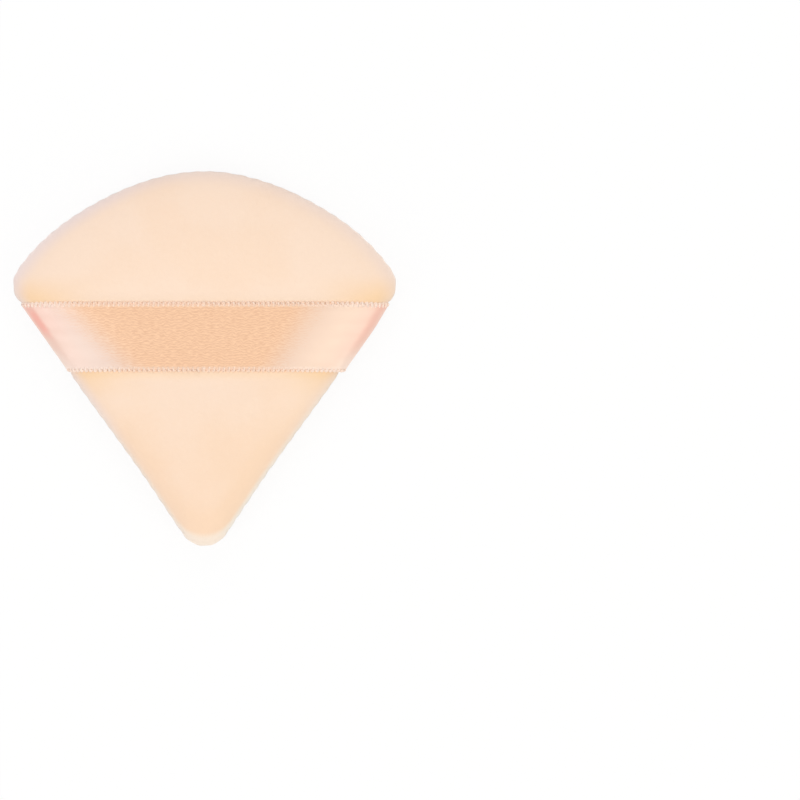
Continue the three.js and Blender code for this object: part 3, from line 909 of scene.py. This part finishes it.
def inflated_skin(form):
    """The pad's closed skin, blown up by cloth simulation with its seam and strap line held."""
    front_crown = form.pad.front_crown - CLOTH_START
    back_crown = form.pad.back_crown - CLOTH_START
    shares = shares_outward(LINING_RINGS)
    front = form.face(shares, form.edge, FRONT_RIM, front_crown, is_front=True)
    back = form.face(shares[::-1], form.edge, BACK_RIM, back_crown, is_front=False)
    rings = np.concatenate((front, back)) * CLOTH_SCALE
    shell = Shell()
    flat = np.zeros((OUTLINE_COLUMNS, 3))
    shell.loft(rings, [flat] * len(rings), rings[0].mean(0), rings[-1].mean(0))
    start = shell.build("skin_start", None)
    remesh = start.modifiers.new("Even faces", "REMESH")
    remesh.mode = "VOXEL"
    remesh.voxel_size = CLOTH_VOXEL * CLOTH_SCALE
    graph = bpy.context.evaluated_depsgraph_get()
    even = bpy.data.meshes.new_from_object(start.evaluated_get(graph))
    bpy.data.objects.remove(start)

    skin = link_piece("skin", even)
    places = np.array([v.co for v in even.vertices]) / CLOTH_SCALE
    at_seam = np.abs(places[:, 2] - SEAM_LEVEL) < SEAM_GAP
    at_strap = (places[:, 2] > SEAM_LEVEL) & (form.past_strap(places[:, 1]) < 0)
    held = skin.vertex_groups.new(name="held")
    held.add(np.flatnonzero(at_seam | at_strap).tolist(), 1.0, "REPLACE")
    cloth = skin.modifiers.new("Swelling", "CLOTH")
    cloth.settings.use_pressure = True
    cloth.settings.uniform_pressure_force = CLOTH_PRESSURE
    cloth.settings.mass = CLOTH_MASS
    cloth.settings.effector_weights.gravity = 0
    cloth.settings.vertex_group_mass = held.name
    cloth.point_cache.frame_start = 1
    cloth.point_cache.frame_end = CLOTH_FRAMES
    for step in range(1, CLOTH_FRAMES + 1):
        bpy.context.scene.frame_set(step)
    graph = bpy.context.evaluated_depsgraph_get()
    blown = bpy.data.meshes.new_from_object(skin.evaluated_get(graph))
    corners = [v.co / CLOTH_SCALE for v in blown.vertices]
    surface = BVHTree.FromPolygons(corners, [list(p.vertices) for p in blown.polygons])
    bpy.data.objects.remove(skin)
    bpy.context.scene.frame_set(1)
    return surface


def grid_normals(rings, is_front):
    """Outward normals of a face of rings."""
    outward = np.gradient(rings, axis=0)
    around = np.roll(rings, -1, axis=1) - np.roll(rings, 1, axis=1)
    normals = unit(np.cross(outward, around))
    return normals if is_front else -normals


def swelling(rings, normals, skin):
    """How far the inflated skin stands off a face at each point, evened out."""
    found = np.zeros(rings.shape[:2])
    for place in np.ndindex(*found.shape):
        normal = Vector(normals[place])
        start = Vector(rings[place]) + PROBE * normal
        hit = skin.ray_cast(start, -normal, 2 * PROBE)
        found[place] = PROBE - hit[3] if hit[3] is not None else 0.0
    found = np.clip(found, -SWELL_CAP, SWELL_CAP)
    for _ in range(SWELL_SMOOTHING):
        found = (np.roll(found, 1, axis=1) + 2 * found + np.roll(found, -1, axis=1)) / 4
        found[1:-1] = (found[:-2] + 2 * found[1:-1] + found[2:]) / 4
    return found


def dressed_face(form, rings, shares, skin, is_front):
    """One face of the pad with its swelling, the wadding's lumps and the puckers along the seam."""
    pad = form.pad
    normals = grid_normals(rings, is_front)
    inner = 1 - smooth_step(shares, SWELL_FADE, 1.0)[:, None]
    beside = 1 - form.under_strap(rings[..., 1]) if is_front else 1.0
    lift = pad.lump_height * soft_noise(rings, LUMP_SIZE)
    if skin is not None:
        lift = lift + swelling(rings, normals, skin)
    dressed = rings + (lift * inner * beside)[..., None] * normals
    from_edge = rings - rings[-1:]
    far = np.linalg.norm(from_edge[..., :2], axis=-1)
    near = np.linalg.norm(from_edge, axis=-1)
    wave = pucker(form)
    depth = pad.pucker_depth * wave * np.exp(-far / pad.pucker_reach)
    tuck = pad.seam_tuck * (1 - PUCKERED_TUCK + PUCKERED_TUCK * wave)
    depth += tuck * beside * np.exp(-near / pad.tuck_reach)
    dressed[..., :2] -= depth[..., None] * form.out
    if not is_front:
        dressed[..., 2] = np.maximum(dressed[..., 2], BACK_LOW.z)
    return dressed


def pucker(form):
    """How strongly the stitches draw the edge in, column by column, from 0 to about 1."""
    whole = form.run[-1]
    count = round(whole / form.pad.pucker_pitch)
    drift = soft_noise(form.level_ring(0.0, SEAM_LEVEL)[0], PUCKER_DRIFT_SIZE)
    wave = 0.5 + 0.5 * np.cos(FULL_TURN * count * form.run[:-1] / whole + PUCKER_DRIFT * drift)
    return wave * (PUCKER_LEVEL + PUCKER_VARIETY * drift)


def velour_lay(form, points, is_front):
    """For each point: how far it is from the edge and from the strap, and 1 below the strap."""
    from_edge = (1 - form.share(points[..., 0], points[..., 1])) * form.reach.mean()
    if is_front:
        from_strap = form.past_strap(points[..., 1])
    else:
        from_strap = np.full(len(points), form.pad.length)
    return np.stack((from_edge, from_strap, points[..., 1] < STRAP_MIDDLE), -1)


def velour_panel(form, name, material, skin, is_front):
    """One panel as a closed shell: its face, its rolled and turned edge, and its lining."""
    pad = form.pad
    shares = shares_outward(FACE_RINGS)
    lining_shares = shares_outward(LINING_RINGS)[::-1]
    lining_edge = form.inset(pad.panel_thickness)
    rim, up, crown = (FRONT_RIM, 1, pad.front_crown) if is_front else (BACK_RIM, -1, pad.back_crown)
    lining_crown = crown - 2 * pad.panel_thickness
    turned_level = rim + up * pad.panel_thickness
    lining = form.face(lining_shares, lining_edge, turned_level, lining_crown, is_front)
    face = form.face(shares, form.edge, rim, crown, is_front)
    face = dressed_face(form, face, shares, skin, is_front)
    drawn = np.linalg.norm(face[-1, :, :2] - form.edge, axis=-1)
    roll = np.linspace(0, math.pi, BEAD_STEPS + 1)[1:]
    room = 1.0 if is_front else form.closed_seam(*form.edge.T)
    drop = (pad.bead_drop + pad.bead_squeeze) * room
    bead = np.concatenate([
        form.level_ring(
            drawn + pad.bead_width / 2 * (1 - math.cos(angle)),
            rim - up * drop * math.sin(angle),
        )
        for angle in roll
    ])
    turned = np.concatenate((
        form.level_ring(pad.seam_allowance, rim),
        form.level_ring(pad.seam_allowance, turned_level),
    ))
    rings = [*thinned(face, shares), *bead, *turned, *thinned(lining, lining_shares)]
    shell = Shell()
    lays = [velour_lay(form, ring, is_front) for ring in rings]
    shell.loft(rings, lays, face[0].mean(0), lining[-1].mean(0))
    return shell.build(name, material)


def panel_cut(form):
    """Flat area that a panel is cut to: the fan and its seam allowance."""
    x, y = form.inset(-form.pad.seam_allowance).T
    return abs(np.dot(x, np.roll(y, -1)) - np.dot(y, np.roll(x, -1))) / 2


def ribbon_section(form, y, side):
    """One line of the ribbon, from the pad's middle into the seam on one side.

    Gives the middle of the satin and its outward normals, and the length as far as the pad's rim.
    """
    pad = form.pad
    strap = form.strap
    slack = strap.right_slack * smooth_step(RIBBON_TOP - y, *SLACK_FADE) if side > 0 else 0.0
    edge = form.side(y)
    x = edge * np.concatenate(((0.0,), shares_outward(SECTION_STEPS)))
    z = FRONT_RIM + form.front_height(pad.front_crown, y, form.share(x, y))
    skin = np.column_stack((x, z))
    along = unit(np.gradient(skin, axis=0))
    along[0] = (1, 0)
    along[-1] = (0, -1)
    normals = np.column_stack((-along[:, 1], along[:, 0]))
    stand_off = strap.clearance + strap.thickness / 2
    places = run_length(skin)
    even = np.linspace(0, 1, RIBBON_COLUMNS + 1)
    even = places[-1] * (1 - (1 - even) ** RIBBON_CROWDING)
    normals = unit(np.column_stack([np.interp(even, places, normals[:, k]) for k in (0, 1)]))
    loose = slack * smooth_step(even / places[-1], SLACK_START, 1.0)
    face = at_length(skin, even) + (stand_off + loose)[:, None] * normals

    level = BACK_RIM + strap.seam_clearance + strap.thickness / 2
    radius = strap.turn_radius
    bend = np.linspace(0, math.pi / 2, RIBBON_TURN_STEPS + 1)
    bend_normals = np.column_stack((np.cos(bend), -np.sin(bend)))
    bend_centre = np.array((edge + stand_off + slack - radius, level + radius))
    turn = bend_centre + radius * bend_normals
    inner_x = np.linspace(turn[-1, 0], form.side(y, pad.seam_allowance), RIBBON_TURN_STEPS + 1)[1:]
    run_in = np.column_stack((inner_x, np.full(RIBBON_TURN_STEPS, level)))
    run_normals = np.tile((0.0, -1.0), (RIBBON_TURN_STEPS, 1))
    path = np.vstack((face, turn, run_in))
    return path, np.vstack((normals, bend_normals, run_normals)), run_length(face)[-1]


def ribbon_half(form, side, name, material):
    """Half of the ribbon, from the pad's middle over one side and into its seam."""
    strap = form.strap
    half_width = strap.width / 2 - strap.picot_overhang
    offsets = np.linspace(-half_width, half_width, RIBBON_ROWS + 1)
    over = []
    under = []
    lay = []
    for offset in offsets:
        path, normals, rim = ribbon_section(form, STRAP_MIDDLE + offset, side)
        along = run_length(path)
        place = np.column_stack((side * along, np.full(len(along), offset), np.zeros(len(along))))
        lift = strap.ripple_height * soft_noise(place, RIPPLE_SIZE)
        pleat = np.cos(FULL_TURN * offset / strap.gather_pitch + PLEAT_PHASE * side)
        lift += strap.gather_height * pleat * np.exp(-np.abs(along - rim) / strap.gather_reach)
        lift *= smooth_step(along, 0.0, RIPPLE_START)
        lift *= 1 - smooth_step(along, rim - RIPPLE_END, rim)
        middle = path + lift[:, None] * normals
        half = strap.thickness / 2 * normals
        for grid, points in ((over, middle + half), (under, middle - half)):
            y = np.full(len(points), STRAP_MIDDLE + offset)
            grid.append(np.column_stack((side * points[:, 0], y, points[:, 1])))
        lay.append(np.column_stack((place[:, 0], place[:, 1], rim - along)))
    shell = Shell()
    shell.slab(np.array(over), np.array(under), np.array(lay))
    piece = shell.build(name, material)
    lengths = [run_length(row)[-1] for row in over]
    return piece, max(lengths), float(np.mean(lengths)) * strap.width


def picot_half(form, side, name, material):
    """The looped threads that whip both edges of half of the ribbon."""
    strap = form.strap
    radius = strap.picot_thread / 2
    swing = strap.picot_width / 2 - radius
    rise = strap.picot_height / 2 - radius
    shell = Shell()
    for edge in (-1, 1):
        y = STRAP_MIDDLE + edge * (strap.width / 2 - strap.picot_width / 2)
        path, normals, rim = ribbon_section(form, y, side)
        run = run_length(path)
        loops = int(rim / strap.picot_pitch) + 1
        turns = np.linspace(0, loops, loops * PICOT_STEPS + 1)
        phase = FULL_TURN * turns
        along = strap.picot_pitch * (turns + PICOT_UPRIGHT * (np.cos(phase) - 1) / FULL_TURN)
        middle = at_length(path, along)
        out = unit(np.column_stack([np.interp(along, run, normals[:, k]) for k in (0, 1)]))
        zeros = np.zeros(len(along))
        middle = np.column_stack((side * middle[:, 0], np.full(len(along), y), middle[:, 1]))
        up = np.column_stack((side * out[:, 0], zeros, out[:, 1]))
        across = np.array((0.0, edge, 0.0))
        spoke = swing * np.cos(phase)[:, None] * across + rise * np.sin(phase)[:, None] * up
        to_seam = along[-1] - along
        small = SMALLEST_LOOP + (1 - SMALLEST_LOOP) * smooth_step(to_seam, 0.0, strap.picot_tuck)
        sunk = middle - strap.picot_sink * up
        # Painted highlight that pales the loops towards the seam
        painted_light_ramp = 1 - smooth_step(to_seam, *PICOT_PAINTED_GLOW)
        shell.tube(sunk + small[:, None] * spoke, radius * small, spoke, painted_light_ramp)
    return shell.build(name, material)


def strap_blend(form, side):
    """Two points at the rim's level: where the strap's middle line meets the pad's side, and one set
    in from there, square to the side, as far as the middle of the strap's lower edge.
    """
    start = np.array((side * form.side(STRAP_MIDDLE), STRAP_MIDDLE))
    inward = np.array((-side * math.cos(form.side_angle), -math.sin(form.side_angle)))
    nearest_middle = np.array((0.0, STRAP_MIDDLE - form.strap.width / 2))
    end = start + inward * float((nearest_middle - start) @ inward)
    return (*start, FRONT_RIM), (*end, FRONT_RIM)


def stitch(shell, points, diameter):
    """One stitch with rounded, tapered ends along a path."""
    t = np.linspace(0, 1, STITCH_STEPS + 1)
    path = at_length(points, t * run_length(points)[-1])
    radius = diameter / 2 * np.maximum(np.sin(math.pi * t), 0.0) ** STITCH_BLUNTNESS
    radius = np.maximum(radius, STITCH_TIP * diameter)
    shell.tube(path, radius, np.tile((0.0, 0.0, 1.0), (len(path), 1)))


def sag(points, depth):
    """The same path with its two ends sunk by a depth."""
    t = np.linspace(-1, 1, len(points))
    sunk = points.copy()
    sunk[:, 2] -= depth * t**SAG_POWER
    return sunk


def run_of_stitches(path, stitch_length, sewing):
    """Stitches of about one length, end to end along a path."""
    length = run_length(path)[-1]
    count = round(length / stitch_length)
    trim = np.array((0.5, -0.5)) * sewing.stitch_gap
    shell = Shell()
    for i in range(count):
        ends = np.array((i, i + 1)) * length / count + trim
        points = at_length(path, np.linspace(*ends, STITCH_STEPS + 1))
        sunk = sag(points, SAG_SHARE * sewing.thread_diameter)
        stitch(shell, sunk, sewing.thread_diameter)
    return shell


def seat(piece, node):
    """Fixes a piece to the pad in the place of a CAD node, whose part is hidden."""
    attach(piece, "pad")
    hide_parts(node)


class PUFF_OT_stage(bpy.types.Operator):
    """Makes the floor, the soft light and the camera that looks squarely at the front"""

    bl_idname = "puff.stage"
    bl_label = "Stage"

    def execute(self, context):
        stage = context.scene.puff_stage
        context.scene.view_settings.view_transform = "Standard"
        self.light_world(context, stage)
        self.lay_floor(stage)
        outward = PadForm(context.scene).side_angle
        level, width = stage.side_level, stage.side_width
        left = self.hang_lamp("lamp_left", stage, math.pi - outward, SIDE_LEAN)
        self.light_lamp(left, level, stage.left_tint, width, stage.left_length)
        right = self.hang_lamp("lamp_right", stage, outward, SIDE_LEAN)
        self.light_lamp(right, level, stage.right_tint, width, stage.right_length)
        back = self.hang_lamp("lamp_back", stage, math.pi / 2, BACK_LEAN)
        self.light_lamp(back, stage.back_level, stage.back_tint, stage.back_size, stage.back_size)
        self.aim_camera(context, stage)
        return {"FINISHED"}

    def light_world(self, context, stage):
        context.scene.world = bpy.data.worlds.new("studio")
        world = Finish(context.scene.world)
        ambient = {"Color": (*stage.ambient, 1.0), "Strength": 1.0}
        light = world.node("ShaderNodeBackground", None, ambient)
        world.node("ShaderNodeOutputWorld", None, {"Surface": light})

    def lay_floor(self, stage):
        reach = stage.floor_size / 2
        level = BACK_LOW.z - FLOOR_GAP
        corners = [(x * reach, y * reach, level) for x, y in ((-1, -1), (1, -1), (1, 1), (-1, 1))]
        mesh = bpy.data.meshes.new("floor")
        mesh.from_pydata(corners, [], [(0, 1, 2, 3)])
        floor = link_piece("floor", mesh)
        finish = Finish(bpy.data.materials.new("floor"))
        camera, glossy, through = [
            finish.node("ShaderNodeLightPath", output=f"Is {kind} Ray")
            for kind in ("Camera", "Glossy", "Transmission")
        ]
        matt = finish.node("ShaderNodeBsdfDiffuse", None, {"Color": (*stage.floor, 1.0)})
        white = finish.node("ShaderNodeEmission", None, {"Color": WHITE, "Strength": 1.0})
        glow = (camera + glossy + through) * stage.floor_glow
        shader = finish.node("ShaderNodeMixShader", None, {0: glow, 1: matt, 2: white})
        finish.node("ShaderNodeOutputMaterial", None, {"Surface": shader})
        mesh.materials.append(finish.owner)

    def hang_lamp(self, name, stage, bearing, lean):
        """A lamp that faces the pad from a bearing, leaning from the vertical."""
        lamp = bpy.data.lights.new(name, "AREA")
        holder = bpy.data.objects.new(name, lamp)
        out = math.sin(lean)
        toward = Vector((out * math.cos(bearing), out * math.sin(bearing), math.cos(lean)))
        holder.location = toward * stage.lamp_distance
        holder.rotation_mode = "QUATERNION"
        holder.rotation_quaternion = holder.location.to_track_quat("Z", "Y")
        holder.visible_camera = False
        bpy.context.scene.collection.objects.link(holder)
        return lamp

    def light_lamp(self, lamp, level, colour, width, length):
        lamp.shape = "RECTANGLE"
        lamp.size = width
        lamp.size_y = length
        lamp.color = colour
        lamp.energy = level * LAMP_POWER * width * length

    def aim_camera(self, context, stage):
        camera = bpy.data.cameras.new("camera")
        camera.lens = camera.sensor_width * (stage.camera_height - SEAM_LEVEL) / stage.field
        holder = bpy.data.objects.new("camera", camera)
        pixel = stage.field / PICTURE_SIZE
        across = (PICTURE_SIZE / 2 - PUFF_CENTRE_PX[0]) * pixel
        up = (PUFF_CENTRE_PX[1] - PICTURE_SIZE / 2) * pixel
        holder.location = (across, up, stage.camera_height)
        bpy.context.scene.collection.objects.link(holder)
        context.scene.camera = holder


class PUFF_OT_wadding(bpy.types.Operator):
    """Makes the soft filling between the panels"""

    bl_idname = "puff.wadding"
    bl_label = "Wadding"

    def execute(self, context):
        form = PadForm(context.scene)
        pad = form.pad
        skin = pad.panel_thickness + pad.filling_clearance
        edge = form.inset(skin)
        waist = pad.seam_allowance + pad.filling_clearance
        upper = FRONT_RIM + skin
        under = BACK_RIM - skin
        shares = shares_outward(LINING_RINGS)
        front = form.face(shares, edge, upper, pad.front_crown - 2 * skin, is_front=True)
        back = form.face(shares[::-1], edge, under, pad.back_crown - 2 * skin, is_front=False)
        middle = (form.level_ring(waist, upper), form.level_ring(waist, under))
        rings = np.concatenate((front, *middle, back))
        sunk = FIBRE_DEPTH * (1 + soft_noise(rings, FIBRE_SIZE))
        rings = rings - sunk[..., None] * np.sign(rings - rings.mean((0, 1)))
        rings = thinned(rings, (*shares, 1.0, 1.0, *shares[::-1]))
        shell = Shell()
        lays = [np.zeros_like(ring) for ring in rings]
        shell.loft(rings, lays, rings[0].mean(0), rings[-1].mean(0))
        piece = shell.build("wadding", wadding_finish(context.scene.puff_colours.wadding))
        seat(piece, "filling")
        return {"FINISHED"}


class PUFF_OT_velour_panels(bpy.types.Operator):
    """Makes the two velour panels, swollen by the filling and drawn in by the seam"""

    bl_idname = "puff.velour_panels"
    bl_label = "Velour panels"

    def execute(self, context):
        form = PadForm(context.scene)
        material = velour_finish(context.scene.puff_colours)
        skin = inflated_skin(form)
        for word, is_front in (("front", True), ("back", False)):
            piece = velour_panel(form, f"{word}_velour", material, skin, is_front)
            panel_cut(form)
            seat(piece, f"{word}_panel")
        return {"FINISHED"}


class PUFF_OT_ribbon(bpy.types.Operator):
    """Makes the satin strap with its picot edges, in two halves that meet at the middle"""

    bl_idname = "puff.ribbon"
    bl_label = "Satin strap"

    def execute(self, context):
        form = PadForm(context.scene)
        colours = context.scene.puff_colours
        satin = satin_finish(colours)
        # The loops' shade painted between the plies takes the satin floats' colour
        picot_thread = thread_finish("picot", colours.picot, colours.satin_float, PICOT_TWIST)
        for word, side in SIDES.items():
            ribbon, length, area = ribbon_half(form, side, f"ribbon_{word}", satin)
            picot = picot_half(form, side, f"picot_{word}", picot_thread)
            start, end = strap_blend(form, side)
            for piece in (ribbon, picot):
                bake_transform(piece)
            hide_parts("ribbon_strap", f"ribbon_end_{word}")
        return {"FINISHED"}


class PUFF_OT_stitches(bpy.types.Operator):
    """Makes the machine seam, the hand stitches that close the turning gap and the strap's tacks"""

    bl_idname = "puff.stitches"
    bl_label = "Stitches"

    def execute(self, context):
        form = PadForm(context.scene)
        sewing = context.scene.puff_sewing
        colour = context.scene.puff_colours.thread
        shaded = darker(colour, THREAD_SHADE)
        material = thread_finish("sewing_thread", colour, shaded, SEWING_TWIST)
        shells = {
            "seam_stitches": self.machine_seam(form, sewing),
            "closing_stitches": self.closing_stitches(form, sewing),
        }
        for word, side in SIDES.items():
            shells[f"tack_{word}"] = self.tack(form, sewing, side)
        for name, shell in shells.items():
            seat(shell.build(name, material), STITCHED_NODES[name])
        return {"FINISHED"}

    def gap(self, form, sewing):
        """Highest and lowest point of the turning gap."""
        slant = math.cos(form.side_angle)
        high = STRAP_MIDDLE - form.strap.width / 2 - sewing.turning_gap_start * slant
        return high, high - sewing.turning_gap * slant

    def machine_seam(self, form, sewing):
        """Stitches right round the pad, from one end of the turning gap to the other."""
        line = form.inset(sewing.seam_inset)
        high, low = self.gap(form, sewing)
        in_gap = (line[:, 0] > 0) & (line[:, 1] < high) & (line[:, 1] > low)
        first = np.flatnonzero(in_gap)[-1] + 1
        kept = np.roll(line, -first, axis=0)[: OUTLINE_COLUMNS - in_gap.sum()]
        path = np.column_stack((kept, np.full(len(kept), THREAD_LEVEL)))
        return run_of_stitches(path, sewing.stitch_length, sewing)

    def closing_stitches(self, form, sewing):
        """Hand stitches that zigzag down the turning gap."""
        high, _ = self.gap(form, sewing)
        half_pitch = sewing.closing_pitch / 2
        turns = int(sewing.turning_gap / half_pitch) - 1
        out = np.array((math.cos(form.side_angle), math.sin(form.side_angle)))
        corners = []
        for i in range(turns):
            y = high - (i + 1) * half_pitch * math.cos(form.side_angle)
            swing = (1 if i % 2 else -1) * sewing.closing_width / 2
            x, y = np.array((form.side(y, sewing.seam_inset), y)) + swing * out
            corners.append((x, y, THREAD_LEVEL))
        shell = Shell()
        for here, there in pairwise(np.array(corners)):
            points = here + np.linspace(0, 1, STITCH_STEPS + 1)[:, None] * (there - here)
            stitch(shell, points, sewing.thread_diameter)
        return shell

    def tack(self, form, sewing, side):
        """A straight row of stitches across one end of the strap."""
        reach = form.strap.width / 2 - sewing.tack_margin
        ends = []
        for y in (STRAP_MIDDLE - reach, STRAP_MIDDLE + reach):
            ends.append((side * form.side(y, sewing.tack_inset), y, THREAD_LEVEL))
        return run_of_stitches(np.array(ends), sewing.tack_length, sewing)


class PUFF_PT_sidebar(bpy.types.Panel):
    """Lists the settings and the pieces"""

    bl_idname = "PUFF_PT_sidebar"
    bl_label = "Powder puff"
    bl_space_type = "VIEW_3D"
    bl_region_type = "UI"
    bl_category = "Puff"

    def draw(self, context):
        for name, group in SETTINGS.items():
            box = self.layout.box()
            for setting in group.__annotations__:
                box.prop(getattr(context.scene, name), setting)
        for operator in OPERATORS:
            self.layout.operator(operator.bl_idname)


SETTINGS = {
    "puff_pad": PuffPadSettings,
    "puff_strap": PuffStrapSettings,
    "puff_sewing": PuffSewingSettings,
    "puff_colours": PuffColours,
    "puff_stage": PuffStageSettings,
}
OPERATORS = (
    PUFF_OT_stage,
    PUFF_OT_wadding,
    PUFF_OT_velour_panels,
    PUFF_OT_ribbon,
    PUFF_OT_stitches,
)
CLASSES = (*SETTINGS.values(), *OPERATORS, PUFF_PT_sidebar)


def register():
    for cls in CLASSES:
        bpy.utils.register_class(cls)
    for name, group in SETTINGS.items():
        setattr(bpy.types.Scene, name, PointerProperty(type=group))


def unregister():
    for name in SETTINGS:
        delattr(bpy.types.Scene, name)
    for cls in reversed(CLASSES):
        bpy.utils.unregister_class(cls)


def main():
    register()
    bpy.ops.puff.stage()
    bpy.ops.puff.wadding()
    bpy.ops.puff.velour_panels()
    bpy.ops.puff.ribbon()
    bpy.ops.puff.stitches()


if __name__ == "__main__":
    main()
